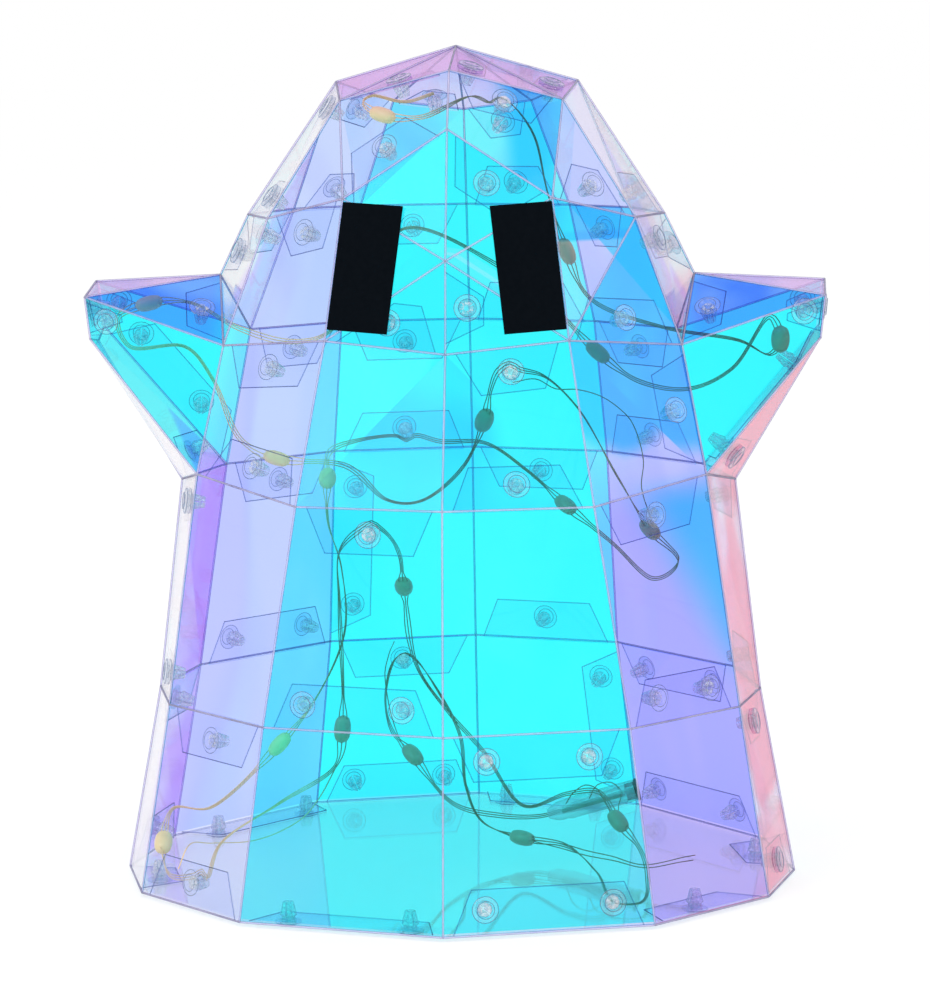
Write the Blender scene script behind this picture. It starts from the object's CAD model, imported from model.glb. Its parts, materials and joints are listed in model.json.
import json
import math

import bmesh
import bpy
from mathutils import Matrix, Quaternion, Vector
from mathutils.kdtree import KDTree


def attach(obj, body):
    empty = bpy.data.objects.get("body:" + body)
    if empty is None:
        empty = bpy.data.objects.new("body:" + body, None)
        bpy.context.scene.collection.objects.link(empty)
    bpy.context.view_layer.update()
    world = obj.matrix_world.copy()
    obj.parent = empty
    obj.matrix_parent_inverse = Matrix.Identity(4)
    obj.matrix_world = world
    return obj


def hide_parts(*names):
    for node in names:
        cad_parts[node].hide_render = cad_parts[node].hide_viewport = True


# Light-up ghost figure: the film panels of the CAD model with their finish, and round them the
# snap rivets, the folded and cut edges of the film, the wires, the lights and the controller.
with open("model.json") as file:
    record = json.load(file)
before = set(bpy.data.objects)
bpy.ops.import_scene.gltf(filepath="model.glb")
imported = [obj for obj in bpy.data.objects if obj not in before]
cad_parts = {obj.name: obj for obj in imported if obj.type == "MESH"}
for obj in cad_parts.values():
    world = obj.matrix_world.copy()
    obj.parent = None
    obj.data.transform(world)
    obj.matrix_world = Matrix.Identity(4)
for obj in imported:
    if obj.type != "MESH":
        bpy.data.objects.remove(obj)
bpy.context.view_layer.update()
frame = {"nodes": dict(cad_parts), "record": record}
scene = bpy.context.scene
mm = 0.001
fullTurn = 2 * math.pi
samePlace = 1e-7  # metres between points that become one

cameraView = {
    "place": (0.1042, -1.762, 0.4189),
    "looksAlong": (-0.0571, 0.9896, -0.1323),
    "roll": -0.42,  # degrees
    "lens": 129.47,  # millimetres
    "sensor": 36,
    "sees": (0.05, 60),
}


def putIn(name, data):
    item = bpy.data.objects.new(name, data)
    scene.collection.objects.link(item)
    return item


def aim(item, place, turn):
    item.location = place
    item.rotation_mode = "QUATERNION"
    item.rotation_quaternion = turn


def lookAlong(direction):
    return Vector(direction).to_track_quat("-Z", "Y")


def makeCamera():
    data = bpy.data.cameras.new("camera")
    data.lens = cameraView["lens"]
    data.sensor_width = cameraView["sensor"]
    data.clip_start, data.clip_end = cameraView["sees"]
    scene.camera = putIn("camera", data)
    roll = Quaternion((0, 0, 1), math.radians(cameraView["roll"]))
    aim(scene.camera, cameraView["place"], lookAlong(cameraView["looksAlong"]) @ roll)


makeCamera()
print("camera ready")


# Node trees


class Term:
    # a socket that takes part in sums
    def __init__(self, graph, socket):
        self.graph = graph
        self.socket = socket

    def out(self, name):
        return Term(self.graph, self.socket.node.outputs[name])

    def math(self, operation, *others):
        values = dict(enumerate((self, *others)))
        return self.graph.add("ShaderNodeMath", values, operation=operation)

    def __add__(self, other):
        return self.math("ADD", other)

    def __sub__(self, other):
        return self.math("SUBTRACT", other)

    def __rsub__(self, other):
        return self.math("MULTIPLY_ADD", -1, other)

    def __mul__(self, other):
        return self.math("MULTIPLY", other)

    def __pow__(self, other):
        return self.math("POWER", other)

    __radd__ = __add__
    __rmul__ = __mul__

    def abs(self):
        return self.math("ABSOLUTE")

    def clamp(self):
        return self.math("MAXIMUM", 0).math("MINIMUM", 1)

    def rise(self, low, high):
        # 0 below low, 1 above high, and smooth between them
        values = {"Value": self, "From Min": low, "From Max": high}
        return self.graph.add("ShaderNodeMapRange", values, interpolation_type="SMOOTHSTEP")


class Graph:
    def __init__(self, tree):
        self.tree = tree

    def add(self, kind, values=None, output=0, **settings):
        node = self.tree.nodes.new(kind)
        for name, value in settings.items():
            setattr(node, name, value)
        for key, value in (values or {}).items():
            if isinstance(value, Term):
                self.tree.links.new(value.socket, node.inputs[key])
            else:
                node.inputs[key].default_value = value
        return Term(self, node.outputs[output]) if node.outputs else node

    def mixShader(self, share, first, second):
        return self.add("ShaderNodeMixShader", {0: share, 1: first, 2: second})

    def clear(self, colour):
        return self.add("ShaderNodeBsdfTransparent", {"Color": (*colour, 1)})

    def place(self):
        return self.add("ShaderNodeTexCoord", output="Object")

    def facing(self):
        # 0 on a face that is seen head on and 1 on one that is seen along its surface
        return self.add("ShaderNodeLayerWeight", {"Blend": 0.5}, output="Facing")

    def grazing(self, least, most=1.0):
        # the share of light that a smooth face mirrors, from head on to a grazing look
        return self.facing() ** 5 * (most - least) + least

    def split(self, vector):
        return self.add("ShaderNodeSeparateXYZ", {0: vector}, "X")

    def noise(self, place, scale, detail, **more):
        values = {"Vector": place, "Scale": scale, "Detail": detail}
        return self.add("ShaderNodeTexNoise", {**values, **more})

    def tone(self, share, first, second):
        # a colour between two others, which the node takes at sockets 6 and 7
        values = {0: share, 6: first, 7: second}
        return self.add("ShaderNodeMix", values, 2, data_type="RGBA")

    def body(self, colour, roughness, more):
        # a solid that hides what is behind it
        values = {"Base Color": colour, "Roughness": roughness, **more}
        return self.add("ShaderNodeBsdfPrincipled", values)

    def mirror(self, colour, roughness):
        values = {"Color": (*colour, 1), "Roughness": roughness}
        return self.add("ShaderNodeBsdfGlossy", values)

    def finish(self, surface):
        self.add("ShaderNodeOutputMaterial", {"Surface": surface})


def shaderGraph(name):
    material = bpy.data.materials.new(name)
    material.use_nodes = True
    material.node_tree.nodes.clear()
    return material, Graph(material.node_tree)


def clearPlastic(name, look):
    # clear from head on and darker at a grazing look, with clouds of milky plastic; a size is a
    # scale and a detail, and gloss is the least and the most that it mirrors
    material, graph = shaderGraph(name)
    rim = graph.facing().rise(*look["rimZone"])
    through = graph.mixShader(rim, graph.clear(look["clear"]), graph.clear(look["rim"]))
    cloud = graph.noise(graph.place(), *look["cloudSize"])
    milk = graph.body((*look["milk"], 1), look["milkRoughness"], {"IOR": look["milkBend"]})
    share = ((cloud - 0.5) * look["clouds"] + look["milkShare"]).clamp()
    surface = graph.mixShader(share, through, milk)
    if "gloss" in look:
        gloss = graph.mirror((1, 1, 1), look["glossRoughness"])
        surface = graph.mixShader(graph.grazing(*look["gloss"]), surface, gloss)
    graph.finish(surface)
    return material


def cloudyBody(name, look):
    # a solid of two tones in clouds that also bump it
    material, graph = shaderGraph(name)
    cloud = graph.noise(graph.place(), *look["cloudSize"])
    share = cloud.rise(*look["zone"]) if "zone" in look else cloud
    bump = graph.add("ShaderNodeBump", {**look["bump"], "Height": cloud})
    tone = graph.tone(share, *look["tones"])
    graph.finish(graph.body(tone, look["roughness"], {"Normal": bump, **look["shine"]}))
    return material


def wear(piece, material):
    piece.data.materials.clear()
    piece.data.materials.append(material)


# Stage

stageLook = {
    "floorSize": 40.0,
    "floorDrop": 0.0003,  # metres under the rivets that the figure stands on
    "floorColour": (1.0, 1.0, 1.0, 1),
    "glow": 0.6,  # of the floor's white that isn't lit by the lamps
    "lampTarget": (0, 0, 0.2),
    "lamps": {
        # power, size and place
        "key_lamp": (22.0, 1.6, (-1.3, -1.5, 2.2)),
        "fill_lamp": (10.0, 2.0, (1.8, -1.0, 1.6)),
    },
}


def makeFloor():
    material, graph = shaderGraph("pale_floor")
    lit = graph.add("ShaderNodeBsdfDiffuse", {"Color": stageLook["floorColour"]})
    white = graph.add("ShaderNodeEmission", {"Color": (1, 1, 1, 1), "Strength": 1.0})
    path = graph.add("ShaderNodeLightPath", output="Is Camera Ray")
    seen = (path + path.out("Is Glossy Ray") + path.out("Is Transmission Ray")).clamp()
    graph.finish(graph.mixShader(seen * stageLook["glow"], lit, white))
    half, drop = stageLook["floorSize"] / 2, stageLook["floorDrop"]
    mesh = bpy.data.meshes.new("stage_floor")
    corners = [(-half, -half), (half, -half), (half, half), (-half, half)]
    mesh.from_pydata([(x, y, -drop) for x, y in corners], [], [(0, 1, 2, 3)])
    mesh.materials.append(material)
    putIn("stage_floor", mesh)


def makeLamp(name, power, size, place):
    data = bpy.data.lights.new(name, "AREA")
    data.energy = power
    data.size = size
    aim(putIn(name, data), place, lookAlong(Vector(stageLook["lampTarget"]) - Vector(place)))


def makeLight():
    world = bpy.data.worlds.new("studio")
    scene.world = world
    world.use_nodes = True
    world.node_tree.nodes.clear()
    graph = Graph(world.node_tree)
    sky = graph.add("ShaderNodeBackground", {"Color": (1, 1, 1, 1), "Strength": 1.0})
    graph.add("ShaderNodeOutputWorld", {"Surface": sky})
    for name, (power, size, place) in stageLook["lamps"].items():
        makeLamp(name, power, size, place)


makeFloor()
makeLight()
scene.view_settings.view_transform = "Standard"
scene.cycles.transparent_max_bounces = 64  # a look through the figure meets many films
print("stage ready")


# Shell: the same corners, facets and seams as the part, in millimetres

columns = ("front", "frontFold", "frontCorner", "side", "rearCorner", "rearFold", "back")
shell = {
    "sideOffset": 18,  # the widest corner lies this far in front of the middle
    "rings": {
        # height, front and back depth, phase of the tabs, half-widths of the five side columns
        "floor": (1.9, 156, 156, 1, (97, 151, 165, 152, 86)),
        "skirt": (93, 146, 134, 0, (85.5, 137, 148, 136, 76)),
        "waist": (196.5, 138, 116, 1, (69, 121, 135.5, 121, 71)),
        "chest": (265.5, 106, 98, 0, (57, 109.5, 121, 107, 65)),
        "brow": (326, 90, 76, 0, (49, 87.5, 101, 84, 53)),
    },
    # how far these corners lie above their ring
    "rises": {"waist frontCorner": 9, "chest frontFold": 5.5, "brow frontFold": 10.5},
    "corners": {
        "face top": (0, -80, 368.5),
        "face low": (0, -101, 308.5),
        "brow middle": (0, -62, 395.5),
        "brow end": (53, -48, 381.5),
        "temple top": (59, 0, 389.5),
        "nape fold": (34.5, 45, 379),
        "nape middle": (0, 58, 374.5),
        "apex": (0, -5, 406.5),
        "armpit top": (115.5, -14, 296.5),
        "arm tip front": (177.5, -45, 288),
        "arm tip back": (179, 0, 292.5),
        "arm tip low": (175.5, -43, 267.5),
        "arm tip under": (175.9, -16, 264.5),
        "arm tip rear": (176.9, 9, 269.5),
    },
    "filmThickness": 0.5,
    "seamGap": 0.3,
    "twoRivetEdge": 80,
    "rivetInset": 0.56,  # share of the tab's depth
    "rivetEndInset": 20,
    "tabDepth": 21,  # along most seams
    "headTabDepth": 17,
    "dartTabDepth": 18,
    "tabMargin": 5,
    "shortTabMargin": 3,
    "shortEdge": 40,
    "tabChamfer": 9,  # at most, and at most a fifth of the edge
}
# the middle of a tab's film, under the facet's film and the gap
tabLevel = -1.5 * shell["filmThickness"] - shell["seamGap"]
sides = {"left": -1, "right": 1}
everyFold = range(len(columns) - 1)
atBothEnds = "at both ends"  # the places of the rivets of a long seam
cornerPlaces = {}


def addCorner(name, x, y, z):
    for side, sign in sides.items():
        cornerPlaces[f"{name} {side}" if x else name] = Vector((sign * x, y, z))


def addRing(ring):
    height, front, back, _, halfWidths = shell["rings"][ring]
    offset = shell["sideOffset"]
    for column, x in zip(columns, (0, *halfWidths, 0)):
        depth = back + offset if column in ("rearCorner", "rearFold", "back") else offset - front
        y = depth * math.sqrt(1 - (x / halfWidths[2]) ** 2) - offset
        name = f"{ring} {column}"
        addCorner(name, x, y, height + shell["rises"].get(name, 0))


def cornerName(name, side):
    return name if name in cornerPlaces else f"{name} {side}"


for ring in shell["rings"]:
    addRing(ring)
for name, place in shell["corners"].items():
    addCorner(name, *place)

edgeFacets = {}  # facets by the ends of their edges: loops of corners, anticlockwise from outside


def addFacet(loop):
    for start, end in zip(loop, (*loop[1:], loop[0])):
        edgeFacets[start, end] = loop


def addPair(*names):
    for side in sides:
        first, *others = [cornerName(name, side) for name in names]
        addFacet((first, *(reversed(others) if side == "left" else others)))


def addBand(lower, upper, places):
    for i in places:
        a, b = columns[i], columns[i + 1]
        addPair(f"{lower} {b}", f"{upper} {b}", f"{upper} {a}", f"{lower} {a}")


facetPairs = [
    # the corners of a facet on the right, which has its mirror image on the left
    "chest frontCorner, arm tip front, armpit top",
    "arm tip low, arm tip front, chest frontCorner, waist frontCorner",
    "waist side, arm tip under, arm tip low, waist frontCorner",
    "waist rearCorner, arm tip rear, arm tip under, waist side",
    "arm tip back, arm tip rear, waist rearCorner, chest rearCorner",
    "armpit top, arm tip back, chest rearCorner",
    "armpit top, arm tip front, arm tip back",
    "arm tip front, arm tip low, arm tip under, arm tip rear, arm tip back",
    "face low, brow frontFold, face top",
    "face low, chest frontFold, brow frontFold",
    "face low, chest front, chest frontFold",
    "chest frontFold, chest frontCorner, brow frontCorner, brow frontFold",
    "chest frontCorner, armpit top, brow side, brow frontCorner",
    "chest rearCorner, brow rearCorner, brow side, armpit top",
    "chest rearCorner, chest rearFold, brow rearFold, brow rearCorner",
    "chest rearFold, chest back, brow back, brow rearFold",
    "face top, brow frontFold, brow end, brow middle",
    "brow frontFold, brow frontCorner, brow end",
    "brow frontCorner, brow side, temple top, brow end",
    "brow side, brow rearCorner, temple top",
    "brow rearFold, nape fold, temple top, brow rearCorner",
    "brow rearFold, brow back, nape middle, nape fold",
    "brow middle, brow end, apex",
    "brow end, temple top, apex",
    "temple top, nape fold, apex",
    "nape fold, nape middle, apex",
]


def addShell():
    leftHalf = [f"floor {column} left" for column in columns[1:-1]]
    rightHalf = [cornerName(f"floor {column}", "right") for column in reversed(columns)]
    addFacet((*leftHalf, *rightHalf))
    addBand("floor", "skirt", everyFold)
    addBand("skirt", "waist", everyFold)
    addBand("waist", "chest", (0, 1, 4, 5))
    for names in facetPairs:
        addPair(*names.split(", "))


addShell()


def outOf(start, end):
    # the way out of a facet at this edge, from the triangle of its fan that has the edge
    loop = edgeFacets[start, end]
    if end == loop[0]:
        names = (loop[-2], start, end)
    else:
        names = (start, end, loop[2] if start == loop[0] else loop[0])
    a, b, c = [cornerPlaces[name] for name in names]
    return (b - a).cross(c - a).normalized()


class Seam:
    # a tab lies under the facet whose loop runs from start to end, and rivets go through it
    def __init__(self, start, end, places, depth):
        self.ends = start, end
        self.depth = depth
        self.start = cornerPlaces[start]
        self.length = (cornerPlaces[end] - self.start).length
        self.along = (cornerPlaces[end] - self.start) / self.length
        self.out = outOf(start, end)
        self.inward = self.out.cross(self.along)
        if places == atBothEnds:
            inset = shell["rivetEndInset"]
            self.places = [inset, self.length - inset]
        else:
            self.places = [share * self.length for share in places]

    def point(self, x, y, z=0.0):
        return self.start + self.along * x + self.inward * y + self.out * z

    def rivets(self):
        inset = shell["rivetInset"] * self.depth
        return [self.point(place, inset) for place in self.places]

    def lean(self, corner, otherEnd):
        # how much the facet narrows at one end, per unit of depth
        loop = edgeFacets[self.ends]
        i = loop.index(corner)
        beside = next(name for name in (loop[(i + 1) % len(loop)], loop[i - 1]) if name != otherEnd)
        place = cornerPlaces[corner]
        angle = (cornerPlaces[beside] - place).angle(cornerPlaces[otherEnd] - place)
        return 1 / math.tan(angle)

    def tabOutline(self):
        short = self.length < shell["shortEdge"]
        margin = shell["shortTabMargin"] if short else shell["tabMargin"]
        chamfer = min(shell["tabChamfer"], self.length / 5)
        first = margin + max(chamfer, self.depth * self.lean(*self.ends))
        last = self.length - margin - max(chamfer, self.depth * self.lean(*reversed(self.ends)))
        outline = [(margin, 0), (first, self.depth), (last, self.depth), (self.length - margin, 0)]
        return [self.point(x, y, tabLevel) for x, y in outline]


seams = {}
pairedSeams = ("skirt_frontFold_right",)  # shorter, and with two rivets all the same


def addSeam(name, start, end, places=(0.5,), depth=None):
    seams[name] = Seam(start, end, places, depth or shell["tabDepth"])


def addRingSeams(ring, places):
    phase = shell["rings"][ring][3]
    for side in sides:
        for i in places:
            ends = [cornerName(f"{ring} {columns[j]}", side) for j in (i, i + 1)]
            up = (i + phase + (side == "right")) % 2 == 0
            start, end = ends if up == (side == "right") else reversed(ends)
            name = f"{ring}_{columns[i]}_{side}"
            length = (cornerPlaces[ends[0]] - cornerPlaces[ends[1]]).length
            paired = length > shell["twoRivetEdge"] or name in pairedSeams
            addSeam(name, start, end, atBothEnds if paired else (0.5,))


def addOtherSeams():
    small = shell["headTabDepth"]
    addSeam("cheek_left", "brow frontFold left", "face top")
    addSeam("cheek_right", "brow frontFold right", "face top")
    addSeam("dart", "face low", "chest front", depth=shell["dartTabDepth"])
    addSeam("crown_right", "apex", "temple top right", (0.6,), small)
    addSeam("crown_middle", "apex", "brow middle", (0.65,), small)
    addSeam("nape_end_left", "temple top left", "nape fold left", depth=small)
    for side in sides:
        headSeams = [
            ("hairline", "brow end", "brow middle"),
            ("parting", "brow end", "temple top"),
            ("nape", "nape middle", "nape fold"),
            ("temple", "brow side", "armpit top"),
        ]
        for name, *ends in headSeams:
            addSeam(f"{name}_{side}", *(cornerName(end, side) for end in ends), depth=small)
        armSeams = [
            ("arm_tip_front", "arm tip low", "arm tip front", 0.6, small),
            ("arm_tip_rear", "arm tip back", "arm tip rear", 0.5, small),
            ("arm_tip_top", "arm tip back", "arm tip front", 0.5, small),
            ("arm_shoulder", "armpit top", "chest frontCorner", 0.5, small),
            ("chest_rearCorner", "chest rearFold", "chest rearCorner", 0.5, None),
        ]
        for name, first, second, share, depth in armSeams:
            ends = f"{first} {side}", f"{second} {side}"
            addSeam(f"{name}_{side}", *(ends if side == "right" else ends[::-1]), (share,), depth)
    addSeam("arm_under_left", "waist rearCorner left", "arm tip rear left", (0.36, 0.85))
    addSeam("arm_under_right", "waist rearCorner right", "arm tip rear right", atBothEnds)
    addSeam("chest_corner_right", "waist frontCorner right", "chest frontCorner right")
    addSeam("waist_fold_left", "skirt rearFold left", "waist rearFold left", atBothEnds)
    addSeam("skirt_fold_right", "skirt rearFold right", "floor rearFold right", atBothEnds)


for ring in ("floor", "skirt", "waist"):
    addRingSeams(ring, everyFold)
addRingSeams("chest", (0, 1, 5))
addRingSeams("brow", everyFold[1:])
addOtherSeams()
print(f"shell ready: {len(set(edgeFacets.values()))} facets, {len(seams)} seams")


# Pieces by Geometry Nodes


def geometryGraph(name, inputs):
    tree = bpy.data.node_groups.new(name, "GeometryNodeTree")
    tree.interface.new_socket("Geometry", in_out="INPUT", socket_type="NodeSocketGeometry")
    for label, kind in inputs.items():
        tree.interface.new_socket(label, in_out="INPUT", socket_type=kind)
    tree.interface.new_socket("Geometry", in_out="OUTPUT", socket_type="NodeSocketGeometry")
    graph = Graph(tree)
    return tree, graph, graph.add("NodeGroupInput")


def finishGeometry(graph, shapes):
    # each shape is a geometry with the material that it wears
    made = []
    for shape, material in shapes:
        real = graph.add("GeometryNodeRealizeInstances", {0: shape})
        made.append(graph.add("GeometryNodeSetMaterial", {0: real, "Material": material}))
    join = graph.tree.nodes.new("GeometryNodeJoinGeometry")
    for term in reversed(made):
        graph.tree.links.new(term.socket, join.inputs[0])
    graph.add("NodeGroupOutput", {0: Term(graph, join.outputs[0])})


def grow(name, mesh, tree, values):
    piece = putIn(name, mesh)
    modifier = piece.modifiers.new("shape", "NODES")
    modifier.node_group = tree
    for item in tree.interface.items_tree:
        if item.in_out == "INPUT" and item.name in values:
            modifier[item.identifier] = values[item.name]
    depsgraph = bpy.context.evaluated_depsgraph_get()
    grown = bpy.data.meshes.new_from_object(piece.evaluated_get(depsgraph), depsgraph=depsgraph)
    piece.modifiers.clear()
    piece.data = grown
    grown.name = name
    bpy.data.meshes.remove(mesh)
    return piece


def settle(piece, smoothAngle, slotName, *nodes):
    for face in piece.data.polygons:
        face.use_smooth = True
    piece.data.set_sharp_from_angle(angle=math.radians(smoothAngle))
    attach(piece, "root")
    if nodes:
        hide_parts(*nodes)
    faces = sum(len(face.vertices) - 2 for face in piece.data.polygons)
    print(f"{piece.name}: {faces} triangles")


# Film panels

filmLook = {
    # what a film lets through, from where it faces front or back to where it turns away
    "cyan": (0.17, 0.965, 1.0),
    "paleCyan": (0.21, 0.985, 1.0),
    "azure": (0.13, 0.66, 1.0),
    "royal": (0.20, 0.43, 1.0),
    "sky": (0.86, 0.95, 1.0),
    "mist": (0.84, 0.88, 1.0),
    "violet": (0.69, 0.59, 1.0),
    "deepBlue": (0.55, 0.66, 1.0),
    "periwinkle": (0.68, 0.73, 1.0),
    "lilac": (0.74, 0.60, 1.0),
    "orchid": (0.60, 0.33, 1.0),
    "pearl": (0.925, 0.915, 0.93),
    "rose": (0.975, 0.41, 0.53),
    "coral": (0.95, 0.50, 0.78),
    "mauve": (0.86, 0.64, 0.91),
    "white": (1.0, 0.975, 0.99),  # what it mirrors
    "pink": (0.86, 0.66, 0.88),  # and what the flat faces high up mirror
    "doubled": (0.91, 0.92, 1.0),  # what a tab takes from the light besides its panel
    "gloss": 0.014,
    "glossRoughness": 0.03,
    "swirlSize": (5.5, 2.0),  # scale and detail
    "swirlBend": {"Roughness": 0.45, "Distortion": 2.6},
    "swirlShare": 0.10,
    "bandSize": (16.0, 1.0),
    "bandStretch": (1, 1, 0.22),
    "bandBend": {"Distortion": 1.2},
    "paleShare": 0.7,
    "frontBandShare": 0.30,
    "rearBandShare": 0.5,
    # what the turn of a face counts less: at the right of the head and chest, on the slopes over
    # the arms and at the rear
    "rightTurn": 0.11,
    "slopeTurn": 0.27,
    "rearTurn": 0.28,
    "leftShift": 0.018,  # metres that the rear's colours start further forward at the left
    "headPaleness": 0.8,  # share of the blush that the head lacks
}
filmZones = {
    # where a zone of colour starts and where it is full: metres for a place or a line, and shares
    # for a slope, a turn or a pattern
    "right": (0.01, 0.06),
    "high": (0.18, 0.24),
    "behind": (0.0, 0.02),
    "slope": (0.70, 0.78),
    "level": (0.86, 0.92),
    "bluer": (0.30, 0.36),
    "rearTurn": (0.42, 0.55),
    "crease": (-0.0005, 0.0005),
    "aboveCrease": (0.312, 0.322),
    "paleCyan": (0.44, 0.66),
    "frontBand": (0.50, 0.68),
    "rearBand": (0.44, 0.62),
    "corner": (-0.008, 0.022),
    "cornerTop": (0.19, 0.21),
    "cornerFoot": (0.09, 0.13),
    "armOut": (0.105, 0.12),
    "armHeight": (0.24, 0.26),
    "azure": (0.10, 0.15),
    "soft": (0.18, 0.21),
    "crownTurn": (0.32, 0.37),
    "crownHeight": (0.31, 0.33),
    "blushAcross": (0.02, 0.12),
    "blushSwirl": (0.32, 0.48),
    "blushTop": (0.26, 0.31),
    "beside": (0.38, 0.48),
    "far": (0.50, 0.58),
}
tabFinding = {
    "past": (0.0002, 0.0006),  # metres past the seam
    "off": (0.00036, 0.00046),  # metres off the plane in the middle of the tab's film
    "reach": 0.8,  # millimetres from a tab's far corner to the nearest point of its panel
}
# lines across the front: shares of across and of height, and the rest, that add up to the metres
# past the line
creaseLine = (-0.875, 0.485, -0.0815)
cheekLine = (1.0, 0.122, -0.0901)
cornerLine = (1.0, 0.525, -0.189)


def dot(place, direction):
    values = {0: place, 1: direction}
    return place.graph.add("ShaderNodeVectorMath", values, "Value", operation="DOT_PRODUCT")


def tabMask(place, tabs):
    # 1 on the tabs of a panel, past their seams and just under the next facet
    mask = 0
    for seam in tabs:
        start = seam.start * mm
        past = dot(place, seam.inward) - start.dot(seam.inward)
        off = (dot(place, seam.out) - start.dot(seam.out) - tabLevel * mm).abs()
        mask = mask + past.rise(*tabFinding["past"]) * (1 - off.rise(*tabFinding["off"]))
    return mask


def tabsOf(panel):
    # the seams with a tab on this panel: one of its points is the tab's far corner
    points = KDTree(len(panel.data.vertices))
    for i, vertex in enumerate(panel.data.vertices):
        points.insert(vertex.co / mm, i)
    points.balance()
    reach = tabFinding["reach"]
    return [seam for seam in seams.values() if points.find(seam.tabOutline()[1])[2] < reach]


def makeFilmMaterial(name, tabs):
    material, graph = shaderGraph(name)
    look, mix = filmLook, graph.mixShader

    def film(name):
        # two faces of a film share its colour
        return graph.clear([math.sqrt(part) for part in look[name]])

    def within(term, zone):
        return term.rise(*filmZones[zone])

    place = graph.place()
    normal = graph.split(place.out("Normal"))
    across = graph.split(place)
    height, depth = across.out("Z"), across.out("Y")
    swirl = graph.noise(place, *look["swirlSize"], **look["swirlBend"])
    stretch = {0: place, 1: look["bandStretch"]}
    stretched = graph.add("ShaderNodeVectorMath", stretch, operation="MULTIPLY")
    band = graph.noise(stretched, *look["bandSize"], **look["bandBend"])

    def pastLine(line, zone):
        acrossShare, heightShare, rest = line
        return within(across * acrossShare + height * heightShare + rest, zone)

    faceUp = normal.out("Z").abs()
    right = within(across, "right")
    high = within(height, "high")
    behind = within(depth + (1 - high) * (1 - right) * look["leftShift"], "behind")
    slope = within(faceUp, "slope")
    level = within(faceUp, "level")

    # how far a face is turned from the front: the further, the less cyan
    turned = 1 - normal.out("Y").abs() + (swirl - 0.5) * look["swirlShare"]
    bluer = right * high * (1 - slope) * (1 - within(turned, "bluer"))
    crease = pastLine(creaseLine, "crease") * pastLine(cheekLine, "crease")
    crease = crease * (1 - within(height, "aboveCrease")) * (1 - behind)
    turned = turned - bluer * (1 - crease) * look["rightTurn"]
    turned = turned - slope * high * (1 - level) * look["slopeTurn"]
    turned = turned - behind * within(turned, "rearTurn") * look["rearTurn"]

    # colours of the front, the rear and the crown
    pale = within(swirl, "paleCyan") * look["paleShare"]
    cyan = mix(pale, film("cyan"), film("paleCyan"))
    front = mix(right * (1 - high), film("mist"), film("violet"))
    front = mix(high * (1 - right), front, film("sky"))
    frontBand = within(band, "frontBand") * look["frontBandShare"]
    front = mix(frontBand, front, film("lilac"))
    rearBand = within(band, "rearBand") * look["rearBandShare"]
    rear = mix(rearBand, film("deepBlue"), film("periwinkle"))
    corner = pastLine(cornerLine, "corner") * (1 - within(height, "cornerTop"))
    front = mix(corner * within(height, "cornerFoot"), front, film("azure"))
    soft = mix(behind, front, rear)
    crown = mix(high, soft, film("periwinkle"))
    arm = within(across.abs(), "armOut") * within(height, "armHeight")
    blue = mix(arm, film("azure"), film("royal"))

    # colours of the sides
    blush = within(across, "blushAcross") * within(swirl, "blushSwirl") * (1 - level)
    blush = blush * (1 - within(height, "blushTop") * look["headPaleness"])
    rearRight = mix(blush, film("pearl"), film("coral"))
    rearSide = mix(right, film("orchid"), rearRight)
    beside = mix(behind * (1 - high), film("lilac"), rearSide)
    far = mix(blush, film("pearl"), film("rose"))

    surface = mix(within(turned, "azure"), cyan, blue)
    surface = mix(within(turned, "soft"), surface, soft)
    atCrown = within(turned, "crownTurn") * within(height, "crownHeight")
    surface = mix(atCrown, surface, crown)
    surface = mix(within(turned, "beside"), surface, beside)
    surface = mix(within(turned, "far"), surface, far)
    surface = mix(level * high, surface, film("mauve"))
    if tabs:
        surface = mix(tabMask(place, tabs), surface, film("doubled"))
    sheens = [graph.mirror(look[name], look["glossRoughness"]) for name in ("white", "pink")]
    sheen = mix(level * high, *sheens)
    graph.finish(mix(graph.grazing(look["gloss"]), surface, sheen))
    return material


def dressFilm():
    slots = {item["node"]: item["material_slot"] for item in frame["record"]["subparts"]}
    count = 0
    for node, slotName in slots.items():
        if slotName == "film":
            panel = frame["nodes"][node]
            tabs = tabsOf(panel)
            count += len(tabs)
            wear(panel, makeFilmMaterial(f"{node}_film", tabs))
    print(f"film ready: {count} tabs")


dressFilm()


# Folded and cut edges of the film

edgePlastic = {
    "rimZone": (0.05, 0.5),
    "milk": (0.80, 0.76, 0.90),
    "milkRoughness": 0.25,
    "milkBend": 1.45,
    "cloudSize": (60.0, 2.0),
    "clouds": 0.4,
}
edgeLook = {
    # a clear middle between two dark lines, as a bent or cut film shows; radius in millimetres
    "film_folds": {
        **edgePlastic,
        "radius": 0.52,
        "sides": 8,
        "clear": (0.90, 0.86, 1.0),
        "rim": (0.34, 0.34, 0.50),
        "milkShare": 0.30,
    },
    "film_cut_edges": {
        **edgePlastic,
        "radius": 0.24,
        "sides": 8,
        "clear": (0.72, 0.78, 0.92),
        "rim": (0.34, 0.40, 0.58),
        "milkShare": 0.06,
    },
}
edgeSmoothAngle = 60
creases = [("chest frontFold right", "brow frontCorner right")]  # bends within a facet


def tubeTree(name):
    inputs = {
        "Radius": "NodeSocketFloat",
        "Sides": "NodeSocketInt",
        "Material": "NodeSocketMaterial",
    }
    tree, graph, given = geometryGraph(name, inputs)
    values = {"Resolution": given.out("Sides"), "Radius": given.out("Radius")}
    ring = graph.add("GeometryNodeCurvePrimitiveCircle", values)
    paths = graph.add("GeometryNodeMeshToCurve", {0: given})
    values = {"Curve": paths, "Profile Curve": ring, "Fill Caps": True}
    tubes = graph.add("GeometryNodeCurveToMesh", values)
    finishGeometry(graph, [(tubes, given.out("Material"))])
    return tree


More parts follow.
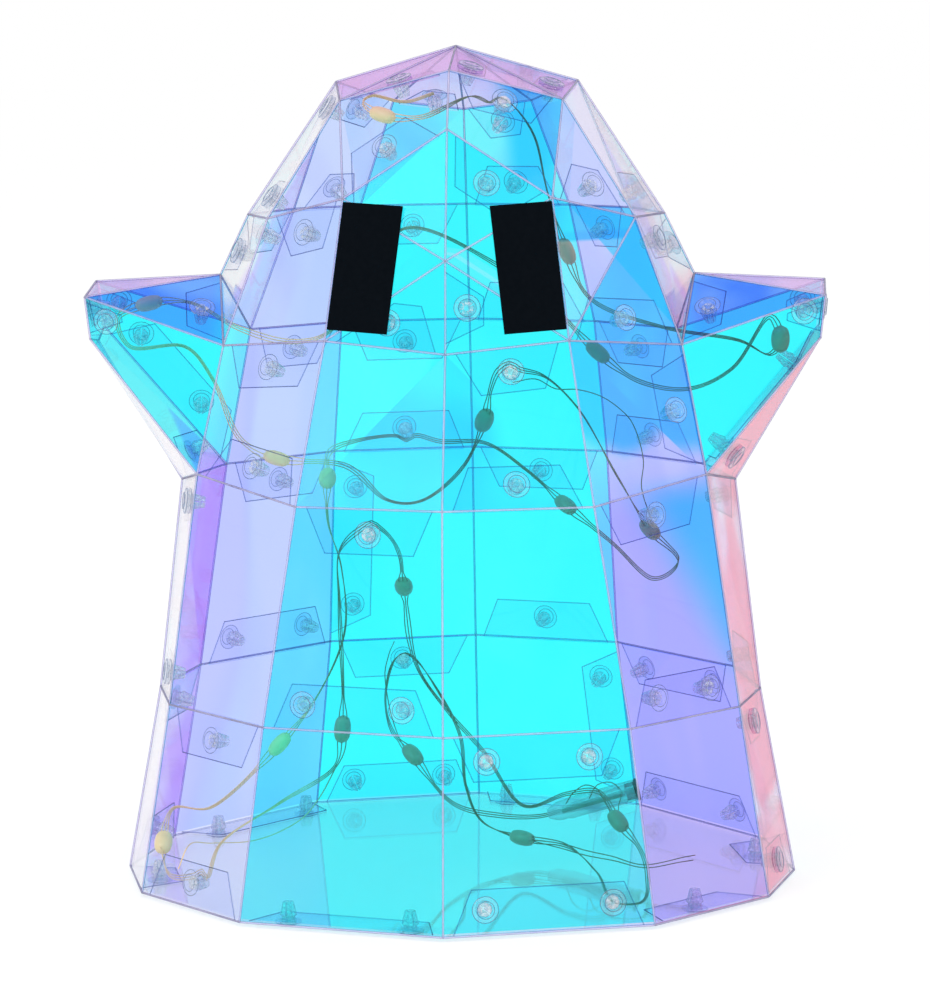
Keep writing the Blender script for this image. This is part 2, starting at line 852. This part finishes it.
def pathMesh(name, paths):
    # paths of points in millimetres, as loose edges
    points, edges = [], []
    for path in paths:
        first = len(points)
        points += [point * mm for point in path]
        edges += [(i, i + 1) for i in range(first, len(points) - 1)]
    mesh = bpy.data.meshes.new(name)
    mesh.from_pydata(points, edges, [])
    return mesh


tubes = tubeTree("tubes_along_paths")


def growTubes(name, paths, size, material):
    values = {"Radius": size["radius"] * mm, "Sides": size["sides"], "Material": material}
    return grow(name, pathMesh(name + "_paths", paths), tubes, values)


def makeEdges():
    folds = {tuple(sorted(ends)) for ends in (*edgeFacets, *creases)}
    foldPaths = [[cornerPlaces[name] for name in ends] for ends in sorted(folds)]
    cutPaths = []
    for seam in seams.values():
        outline = seam.tabOutline()
        cutPaths += [outline[i : i + 2] for i in range(3)]
    for name, paths in {"film_folds": foldPaths, "film_cut_edges": cutPaths}.items():
        piece = growTubes(name, paths, edgeLook[name], clearPlastic(name, edgeLook[name]))
        settle(piece, edgeSmoothAngle, "film")


makeEdges()


# Snap rivets

rivetSize = {
    # outlines of radius and height above the film, a hair off the axis where they would meet it
    "head": [
        (0.01, 1.3), (2.9, 1.3), (3.3, 1.9), (4.1, 1.9), (4.5, 1.4), (5.85, 1.4), (6.3, 0.95),
        (6.3, 0.3), (3.2, 0.3), (3.2, 0.1), (0.01, 0.1),
    ],
    "barrel": [(1.5, 0.0), (3.2, 0.0), (3.2, -1.6), (4.1, -2.4), (2.6, -8.5), (1.5, -8.5)],
    "rings": [(4.1, 1.9), (6.2, 1.05)],  # round the head's raised rim and round its brim
    "ringEdge": 0.17,
    "sides": 24,
    "prongs": 4,
    "prongSteps": 3,
    "slit": 0.24,  # radians between two prongs
    "seed": 4,
    "smoothAngle": 35,
}
rivetPlastic = {
    "milk": (0.84, 0.84, 0.86),
    "milkRoughness": 0.25,
    "milkBend": 1.5,
    "cloudSize": (700.0, 1.0),
    "gloss": (0.04, 0.6),
    "glossRoughness": 0.08,
}
rivetLook = {
    "head": {
        **rivetPlastic,
        "clear": (0.975, 0.98, 0.985),
        "rim": (0.78, 0.82, 0.89),
        "rimZone": (0.25, 0.90),
        "milkShare": 0.01,
        "clouds": 0.12,
    },
    "ring": {
        **rivetPlastic,
        "clear": (0.56, 0.60, 0.70),
        "rim": (0.56, 0.60, 0.70),
        "rimZone": (0.1, 0.8),
        "milkShare": 0.05,
        "clouds": 0.1,
    },
    "barrel": {
        **rivetPlastic,
        "clear": (0.95, 0.955, 0.96),
        "rim": (0.68, 0.71, 0.76),
        "rimZone": (0.2, 1.0),
        "milk": (0.96, 0.91, 0.90),
        "milkShare": 0.20,
        "clouds": 1.6,
    },
}


def revolve(mesh, profile, steps, start=0.0, span=fullTurn):
    # a closed sector, or a whole turn, of an outline of radius and height pairs
    whole = span == fullTurn
    rings = []
    for i in range(steps if whole else steps + 1):
        angle = start + span * i / steps
        turn = Vector((math.cos(angle), math.sin(angle)))
        rings.append([mesh.verts.new((*(turn * r * mm), z * mm)) for r, z in profile])
    for i in range(steps):
        first, second = rings[i], rings[(i + 1) % len(rings)]
        for j in range(len(profile)):
            k = (j + 1) % len(profile)
            mesh.faces.new((first[j], second[j], second[k], first[k]))
    if not whole:
        mesh.faces.new(rings[0])
        mesh.faces.new(list(reversed(rings[-1])))


def meshObject(name, build):
    mesh = bmesh.new()
    build(mesh)
    bmesh.ops.remove_doubles(mesh, verts=mesh.verts, dist=samePlace)
    bmesh.ops.recalc_face_normals(mesh, faces=mesh.faces)
    data = bpy.data.meshes.new(name)
    mesh.to_mesh(data)
    mesh.free()
    return putIn(name, data)


def buildHead(mesh):
    revolve(mesh, rivetSize["head"], rivetSize["sides"])


def buildRing(mesh):
    edge = rivetSize["ringEdge"]
    for radius, z in rivetSize["rings"]:
        profile = [(radius - edge, z), (radius, z - edge), (radius + edge, z), (radius, z + edge)]
        revolve(mesh, profile, rivetSize["sides"])


def buildBarrel(mesh):
    prongs, slit = rivetSize["prongs"], rivetSize["slit"]
    for i in range(prongs):
        start = fullTurn * i / prongs + slit / 2
        revolve(mesh, rivetSize["barrel"], rivetSize["prongSteps"], start, fullTurn / prongs - slit)


def rivetTree():
    parts = ("Head", "Ring", "Barrel")
    inputs = {part: "NodeSocketObject" for part in parts}
    inputs |= {f"{part} Material": "NodeSocketMaterial" for part in parts}
    inputs["Seed"] = "NodeSocketInt"
    tree, graph, given = geometryGraph("rivets_on_points", inputs)
    named = {"Name": "out"}
    out = graph.add("GeometryNodeInputNamedAttribute", named, data_type="FLOAT_VECTOR")
    upright = graph.add("FunctionNodeAlignRotationToVector", {"Vector": out}, axis="Z")
    values = {"Seed": given.out("Seed"), 2: 0.0, 3: fullTurn / rivetSize["prongs"]}
    # sockets 2 and 3 are the least and the most, and output 1 is the number between them
    spin = graph.add("FunctionNodeRandomValue", values, 1, data_type="FLOAT")
    values = {"Axis": (0.0, 0.0, 1.0), "Angle": spin}
    about = graph.add("FunctionNodeAxisAngleToRotation", values)
    values = {"Rotation": upright, "Rotate By": about}
    turn = graph.add("FunctionNodeRotateRotation", values, rotation_space="LOCAL")
    shapes = []
    for part in parts:
        shape = graph.add("GeometryNodeObjectInfo", {"Object": given.out(part)}, "Geometry")
        values = {"Points": given, "Instance": shape, "Rotation": turn}
        copies = graph.add("GeometryNodeInstanceOnPoints", values)
        shapes.append((copies, given.out(f"{part} Material")))
    finishGeometry(graph, shapes)
    return tree


def makeRivets():
    places = [(place, seam.out) for seam in seams.values() for place in seam.rivets()]
    points = bpy.data.meshes.new("rivet_points")
    points.from_pydata([place * mm for place, _ in places], [], [])
    out = points.attributes.new("out", "FLOAT_VECTOR", "POINT")
    for i, (_, direction) in enumerate(places):
        out.data[i].vector = direction
    values = {"Seed": rivetSize["seed"]}
    builders = {"head": buildHead, "ring": buildRing, "barrel": buildBarrel}
    for part, build in builders.items():
        values[part.title()] = meshObject(f"rivet_{part}", build)
        values[f"{part.title()} Material"] = clearPlastic(f"rivet_{part}", rivetLook[part])
    piece = grow("snap_rivets", points, rivetTree(), values)
    for part in builders:
        bpy.data.objects.remove(values[part.title()])
    nodes = [node for node in frame["nodes"] if node.startswith("rivet_")]
    settle(piece, rivetSize["smoothAngle"], "rivet", *nodes)
    print(f"{len(places)} rivets")


makeRivets()


# Lights: fine wires side by side, with a moulded bead round each light

lightSize = {
    "radius": 0.27,
    "sides": 6,
    "strands": 3,
    "strandPitch": 0.56,
    "parting": 1.6,  # of a pitch, where they are furthest apart
    "spreadAtBead": 2.1,
    "spreadFrom": 6.0,  # from a bead's middle
    "spreadLength": 13.0,
    "partingWaves": (19, 47),  # millimetres to a radian
    "swayWaves": ((0.5, 37), (0.3, 13)),  # radians of turn, and millimetres to a radian
    "stepLength": 2.2,
    "smoothAngle": 60,
    "hangDepth": 5,  # under the film
    "barrelAtHang": 3.46,  # radius
    "hangGap": 1.1,  # from the rivet's barrel to the middle of the bundle
    "inlet": (7.3, -4),  # places of the bundle along the controller's axis
}
beadSize = {
    "radius": 4.5,
    "length": 13.6,
    "neck": 0.28,  # share of the radius beside an end
    "tip": 0.22,  # and at the end
    "fullness": 2.2,
    "flatness": 0.82,
    "rings": 10,
    "sides": 16,
    "smoothAngle": 40,
}
lampColours = {
    # dark, bright and the size of the clouds
    "wire_lacquer": ((0.17, 0.18, 0.10, 1), (0.82, 0.58, 0.30, 1), 160.0),
    "bead_resin": ((0.34, 0.32, 0.20, 1), (0.95, 0.72, 0.34, 1), 240.0),
}
lampZones = {
    "left": (0.056, 0.075),
    "headLeft": (0.0, 0.02),
    "head": (0.33, 0.35),
    "cloudShare": 0.5,
    "cloudDetail": 3.0,
    "roughness": 0.3,
    "bend": 1.5,
}
lightRoute = [
    # stretches of points in millimetres, with a bead at the end of each but the last; a name stands
    # for the rivet that the wires hang on, with the angles of their points round its barrel
    [(18, 24, 19), (-6, 13, 28), (-26, 20, 51)],
    [
        (-39, 50, 58), (-45, 90, 70), ("skirt_rearFold_left", 30, 90, 150),
        (-21, 98, 74), (-5, 68, 52), (0, 36, 31), (10, 12, 18), (30, 0, 13),
    ],
    [
        (51, -10, 12), (68, -50, 8), (79, -105, 6), (89, -105, 6), (93, -60, 8), (88, -20, 14),
        (78, -5, 23),
    ],
    [
        (68, 8, 35), (52, 12, 33), (30, 20, 25), (9, 34, 50), (-8, 36, 69), (-23, 30, 92),
        (-26, -30, 145),
    ],
    [
        (-25, -70, 167), ("waist_front_left", 30, 90, 150), (-51, -100, 172), (-53, -80, 145),
        (-55, -50, 78),
    ],
    [
        (-58, -54, 61), (-84, -66, 45), (-111, -86, 29), ("floor_frontFold_left", 30, 90, 150),
        (-138, -70, 10), (-145, -40, 19),
    ],
    [(-142, -28, 33), (-120, -45, 38), (-86, -48, 70)],
    [(-69, -44, 91), (-55, -36, 122), (-58, -12, 151), (-67, 14, 171), (-69, 35, 190)],
    [
        (-69, 70, 201), ("waist_rearFold_left", 330, 270, 210), (-15, 92, 202), (8, 86, 202),
        (30, 70, 190), (51, 46, 175),
    ],
    [(75, 28, 158), (95, 16, 142), (108, -2, 154), (94, -14, 171)],
    [
        (79, -44, 200), (60, -76, 238), (45, -90, 254), ("chest_front_right", 30, 90, 150),
        (20, -85, 248), (16, -70, 231),
    ],
    [(5, -52, 207), (-17, -28, 187), (-36, -8, 185), (-58, 14, 199), (-93, 20, 202)],
    [
        (-110, 14, 212), (-122, 0, 244), (-134, -11, 261), (-160, -20, 262), (-165, -22, 276),
        (-150, -20, 283),
    ],
    [
        (-131, -14, 283), (-108, -1, 269), (-84, 4, 262), (-64, 0, 267), (-44, -12, 298),
        (-24, -17, 319), (20, -18, 301), (51, -24, 277), (69, -34, 260),
    ],
    [(89, -26, 245), (113, -22, 241), (134, -22, 251), (152, -22, 276), (157, -22, 265)],
    [(152, -16, 257), (138, -8, 263), (100, -10, 270), (65, -20, 285), (54, -26, 308)],
    [
        (45, -31, 337), (39, -38, 364), ("hairline_right", 30, 90, 150), (9, -44, 383),
        (-15, -36, 373), (-34, -30, 374),
    ],
    [(-44, -24, 380), (-40, -20, 383), (-24, -18, 380), (-10, -18, 384)],
]
looseStrands = [
    # single strands that part from the bundle, and the pair of bare ends
    [
        (34, -3, 13), (51, -13, 13), (62, -22, 12), (75, -34, 12), (92, -52, 12), (111, -52, 16),
        (116, -48, 16),
    ],
    [
        (34, -1, 12), (51, -15, 11), (62, -24, 10), (76, -35, 10), (93, -54, 11), (108, -55, 14),
        (115, -50, 14),
    ],
    [
        (-58, -48, 60), (-66, -50, 45), (-74, -52, 35), (-85, -58, 29), (-98, -66, 26),
        (-116, -80, 28), (-125, -92, 30), (-130, -96, 19),
    ],
    [
        (30, -80, 250), (41, -84, 252), (50, -80, 247), (60, -74, 246), (71, -66, 242),
        (80, -58, 235), (86, -50, 227), (91, -40, 208), (90, -38, 196), (94, -18, 178),
    ],
    [(51, 30, 24), (55, 24, 31), (61, 24, 35), (67, 24, 33), (71, 20, 27), (77, -2, 24)],
    [(63, 24, 28), (67, 24, 35), (74, 26, 36), (79, 28, 31), (78, 18, 26), (78, -2, 24)],
    [(-38, 60, 102), (-43, 84, 90), (-45, 86, 81), (-43, 82, 66), (-39, 70, 56), (-29, 24, 50)],
]
controllerSize = {
    "centre": (64, 32, 24.5),
    "tilt": 16,  # degrees, up to the right
    "radius": 5.8,
    "length": 46,
    "taper": 7,
    "taperEnd": 0.46,  # share of the radius at the tapered end
    "taperBore": 0.36,
    "pinch": (1.6, 0.84, 0.94),  # reach in tapers, flatness within it and past it
    "wrinkle": (0.015, 3, 9, 21),  # share of the radius, folds round, twist and waves along
    "wall": 1.0,
    "boreStart": 1.0,
    "boreStep": 0.01,
    "rings": 28,
    "sides": 24,
    "smoothAngle": 35,
}
bushSize = {
    "gap": 0.3,
    # outline of radius and place along the axis
    "outline": [
        (2.0, -5.0), (4.4, -5.0), (4.4, 0.0), (5.4, 0.0), (5.8, 0.4), (5.8, 1.1), (5.4, 1.5),
        (2.4, 1.5), (2.0, 1.1),
    ],
}


def controllerMatrix():
    size = controllerSize
    tilt = Matrix.Rotation(math.radians(-size["tilt"]), 4, "Y")
    shift = Matrix.Translation((-size["length"] / 2, 0, 0))
    return Matrix.Translation(size["centre"]) @ tilt @ shift


def hangPoints(name, *angles):
    seam = seams[name]
    centre = seam.rivets()[0] - seam.out * lightSize["hangDepth"]
    right = Vector((0, 0, 1)).cross(seam.out).normalized()
    up = seam.out.cross(right)
    half = math.radians(abs(angles[1] - angles[0])) / 2
    reach = (lightSize["barrelAtHang"] + lightSize["hangGap"]) / math.cos(half)
    turns = [math.radians(angle) for angle in angles]
    return [centre + right * reach * math.cos(a) + up * reach * math.sin(a) for a in turns]


def stretchPoints(stretch):
    points = []
    for stop in stretch:
        points += hangPoints(*stop) if isinstance(stop[0], str) else [Vector(stop)]
    return points


def smoothPath(points, step):
    # a centripetal curve through the points, with the number of each point's place on it
    ends = [points[0] * 2 - points[1], *points, points[-1] * 2 - points[-2]]
    path, places = [], []
    for stops in zip(ends, ends[1:], ends[2:], ends[3:]):
        places.append(len(path))
        knots = [0.0]
        for first, second in zip(stops, stops[1:]):
            knots.append(knots[-1] + math.sqrt((second - first).length))
        count = max(2, round((stops[2] - stops[1]).length / step))
        for i in range(count):
            t = knots[1] + (knots[2] - knots[1]) * i / count
            level = stops
            for spans in (((0, 1), (1, 2), (2, 3)), ((0, 2), (1, 3)), ((1, 2),)):
                level = [
                    level[j].lerp(level[j + 1], (t - knots[low]) / (knots[high] - knots[low]))
                    for j, (low, high) in enumerate(spans)
                ]
            path.append(level[0])
    places.append(len(path))
    path.append(points[-1])
    return path, places


def strandOffsets(path, beadPlaces):
    # the strands' sideways step at each point: side by side, and spread out beside a bead
    lengths = [0.0]
    for a, b in zip(path, path[1:]):
        lengths.append(lengths[-1] + (b - a).length)
    beadLengths = [lengths[i] for i in beadPlaces]
    steps = []
    for length in lengths:
        reach = min(abs(length - other) for other in beadLengths)
        reach = max(0.0, reach - lightSize["spreadFrom"])
        share = max(0.0, 1 - reach / lightSize["spreadLength"])
        share = share * share * (3 - 2 * share)
        short, long = lightSize["partingWaves"]
        parting = 0.5 + 0.5 * math.sin(length / short) * math.sin(length / long)
        pitch = lightSize["strandPitch"] * (1 + lightSize["parting"] * parting**2)
        spread = lightSize["spreadAtBead"]
        steps.append(pitch + (spread - pitch) * share)
    return lengths, steps


def strandPaths(path, beadPlaces):
    lengths, steps = strandOffsets(path, beadPlaces)
    side = Vector((1, 0, 0))
    strands = [[] for _ in range(lightSize["strands"])]
    for i, point in enumerate(path):
        ahead = (path[min(i + 1, len(path) - 1)] - path[max(i - 1, 0)]).normalized()
        side = (side - ahead * side.dot(ahead)).normalized()
        sway = sum(turn * math.sin(lengths[i] / wave) for turn, wave in lightSize["swayWaves"])
        flat = (Matrix.Rotation(sway, 3, ahead) @ side).normalized()
        for j, strand in enumerate(strands):
            strand.append(point + flat * steps[i] * (j - 1))
    return strands


def bridge(mesh, loops):
    # faces from each loop of points to the next
    for lower, upper in zip(loops, loops[1:]):
        for k in range(len(lower)):
            n = (k + 1) % len(lower)
            mesh.faces.new((lower[k], lower[n], upper[n], upper[k]))


def buildBeads(mesh, beads):
    size = beadSize
    rings, sides = size["rings"], size["sides"]
    for centre, ahead in beads:
        turn = ahead.to_track_quat("Z", "Y").to_matrix()
        loops = []
        for i in range(rings + 1):
            t = -1 + 2 * i / rings
            bulge = math.sqrt(max(0.0, 1 - abs(t) ** size["fullness"]))
            radius = size["radius"] * (size["neck"] + (1 - size["neck"]) * bulge)
            if i in (0, rings):
                radius = size["radius"] * size["tip"]
            loop = []
            for k in range(sides):
                angle = fullTurn * k / sides
                x, y = radius * math.cos(angle), size["flatness"] * radius * math.sin(angle)
                point = centre + turn @ Vector((x, y, 0.5 * size["length"] * t))
                loop.append(mesh.verts.new(point * mm))
            loops.append(loop)
        bridge(mesh, loops)
        mesh.faces.new(list(reversed(loops[0])))
        mesh.faces.new(loops[-1])


def makeLampColour(name):
    # brighter where the pale side of the figure lets white light in
    dark, bright, scale = lampColours[name]
    zone = lampZones
    material, graph = shaderGraph(name)
    place = graph.place()
    parts = graph.split(place)
    leftward = parts * -1
    head = parts.out("Z").rise(*zone["head"]) * leftward.rise(*zone["headLeft"])
    lit = leftward.rise(*zone["left"]).math("MAXIMUM", head)
    cloud = graph.noise(place, scale, zone["cloudDetail"])
    tone = graph.tone((lit + (cloud - 0.5) * zone["cloudShare"]).clamp(), dark, bright)
    graph.finish(graph.body(tone, zone["roughness"], {"IOR": zone["bend"]}))
    return material


def makeLights():
    inlet = [controllerMatrix() @ Vector((along, 0, 0)) for along in lightSize["inlet"]]
    stretches = [stretchPoints(stretch) for stretch in lightRoute]
    points = [*inlet, *(point for stretch in stretches for point in stretch)]
    path, places = smoothPath(points, lightSize["stepLength"])
    ends, count = [], len(inlet)
    for stretch in stretches[:-1]:
        count += len(stretch)
        ends.append(places[count - 1])
    strands = strandPaths(path, ends)
    for points in looseStrands:
        strands.append(smoothPath([Vector(point) for point in points], lightSize["stepLength"])[0])
    wires = growTubes("light_wires", strands, lightSize, makeLampColour("wire_lacquer"))
    settle(wires, lightSize["smoothAngle"], "wire", "light_string")
    beads = [(path[i], (path[i + 1] - path[i - 1]).normalized()) for i in ends]
    piece = meshObject("light_beads", lambda mesh: buildBeads(mesh, beads))
    wear(piece, makeLampColour("bead_resin"))
    settle(piece, beadSize["smoothAngle"], "wire", "light_string")


makeLights()


# Controller

sleeveLook = {
    "clear": (0.94, 0.95, 0.95),
    "rim": (0.62, 0.70, 0.70),
    "rimZone": (0.2, 0.95),
    "milk": (0.70, 0.80, 0.80),
    "milkRoughness": 0.3,
    "milkBend": 1.48,
    "milkShare": 0.2,
    "clouds": 0.4,
    "cloudSize": (110.0, 3.0),
    "gloss": (0.05, 0.7),
    "glossRoughness": 0.12,
}
lacquer = {
    "zone": (0.35, 0.65),
    "bump": {"Strength": 0.15, "Distance": 0.0004},
    "shine": {"IOR": 1.5},
}
bushLook = {
    **lacquer,
    "tones": ((0.05, 0.09, 0.09, 1), (0.03, 0.06, 0.06, 1)),
    "roughness": 0.42,
    "cloudSize": (90.0, 3.0),
}
boardLook = {
    **lacquer,
    "tones": ((0.05, 0.20, 0.09, 1), (0.03, 0.13, 0.06, 1)),
    "roughness": 0.4,
    "cloudSize": (300.0, 3.0),
}


def axisLoop(mesh, along, radiusAt, flatness=1.0):
    # a loop of points round the controller's axis
    place = Matrix.Scale(mm, 4) @ controllerMatrix()
    loop = []
    for k in range(controllerSize["sides"]):
        angle = fullTurn * k / controllerSize["sides"]
        y, z = math.cos(angle) * radiusAt(angle), math.sin(angle) * radiusAt(angle)
        loop.append(mesh.verts.new(place @ Vector((along, y, z * flatness))))
    return loop


def buildSleeve(mesh):
    size = controllerSize
    share, folds, twist, waves = size["wrinkle"]
    pinchReach, pinched, plain = size["pinch"]
    loops = []
    for i in range(size["rings"] + 1):
        t = i / size["rings"]
        along = size["length"] * t
        radius = size["radius"]
        if along < size["taper"]:
            swell = math.sin(0.5 * math.pi * along / size["taper"])
            radius *= size["taperEnd"] + (1 - size["taperEnd"]) * swell
        flatness = pinched if along < size["taper"] * pinchReach else plain

        def wrinkled(angle):
            return radius * (1 + share * math.sin(folds * angle + twist * t) * math.sin(waves * t))

        loops.append(axisLoop(mesh, along, wrinkled, flatness))
    for inner in (size["length"], size["boreStart"]):
        bore = size["radius"] - size["wall"]
        bore *= 1 if inner > size["taper"] else size["taperBore"]
        loops.append(axisLoop(mesh, inner - size["boreStep"], lambda angle: bore, plain))
    bridge(mesh, (*loops, loops[0]))


def buildBush(mesh):
    start = controllerSize["length"] + bushSize["gap"]
    loops = []
    for radius, along in bushSize["outline"]:
        loops.append(axisLoop(mesh, start + along, lambda angle: radius))
    bridge(mesh, (*loops, loops[0]))


def makeController():
    pieces = {
        "sleeve": (buildSleeve, clearPlastic("clear_sleeve", sleeveLook)),
        "bush": (buildBush, cloudyBody("bush_rubber", bushLook)),
    }
    for name, (build, material) in pieces.items():
        piece = meshObject(f"controller_{name}_fine", build)
        wear(piece, material)
        settle(piece, controllerSize["smoothAngle"], "controller", f"controller_{name}")
    wear(frame["nodes"]["controller_board"], cloudyBody("board_lacquer", boardLook))


makeController()


# Eyes

eyeLook = {
    "tones": ((0.0010, 0.0022, 0.0038, 1), (0.0030, 0.0045, 0.0068, 1)),
    "cloudSize": (420.0, 4.0),
    "roughness": 0.9,
    "shine": {"Specular IOR Level": 0.03},
    "bump": {"Strength": 0.2, "Distance": 0.0003},
}
card = cloudyBody("matt_black_card", eyeLook)
for side in sides:
    wear(frame["nodes"][f"eye_{side}"], card)
print("eyes ready")
